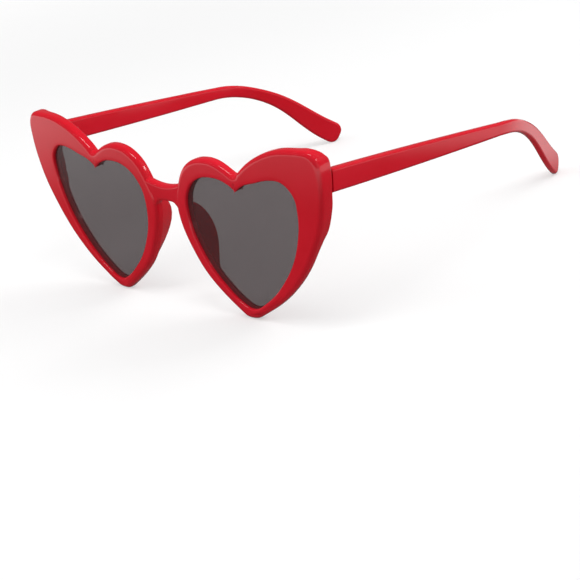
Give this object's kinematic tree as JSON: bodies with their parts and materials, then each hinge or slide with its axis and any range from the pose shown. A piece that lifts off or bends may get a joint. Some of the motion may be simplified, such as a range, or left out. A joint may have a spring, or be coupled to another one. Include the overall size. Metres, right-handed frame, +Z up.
{
  "type": "heart shaped sunglasses",
  "caption": "Heart shaped sunglasses with a glossy plastic front, tinted lenses, moulded nose pads and hinged temples that fold inwards and curve down behind the ears.",
  "frame": {"origin": "on the table under the middle of the open pair's bounding box", "axes": "+X towards the wearer's left temple, +Y from the lenses back to the temple tips, +Z up with the pair standing on its heart tips and temple tips"},
  "size_m": [0.148, 0.1447, 0.0631],
  "materials": {
    "frame_plastic": "polished, opaque red",
    "temple_plastic": "polished, opaque red",
    "lens_tint": "polished, see-through grey-brown tint",
    "hinge_metal": "bright nickel look",
    "screw_metal": "satin"
  },
  "bodies": {
    "front": {"front_frame": "frame_plastic", "lens_left": "lens_tint", "lens_right": "lens_tint", "hinge_front_left": "hinge_metal", "hinge_front_right": "hinge_metal", "hinge_screw_left": "screw_metal", "hinge_screw_right": "screw_metal"},
    "temple_left": {"temple_left": "temple_plastic", "hinge_temple_left": "hinge_metal"},
    "temple_right": {"temple_right": "temple_plastic", "hinge_temple_right": "hinge_metal"}
  },
  "joints": [
    {"name": "fold_left", "type": "hinge", "parent": "front", "child": "temple_left", "pos_m": [0.0681, -0.05885, 0.0504], "axis": [0, 0, 1], "range_deg": [0, 87]},
    {"name": "fold_right", "type": "hinge", "parent": "front", "child": "temple_right", "pos_m": [-0.0681, -0.05885, 0.0504], "axis": [0, 0, -1], "range_deg": [0, 80]}
  ]
}
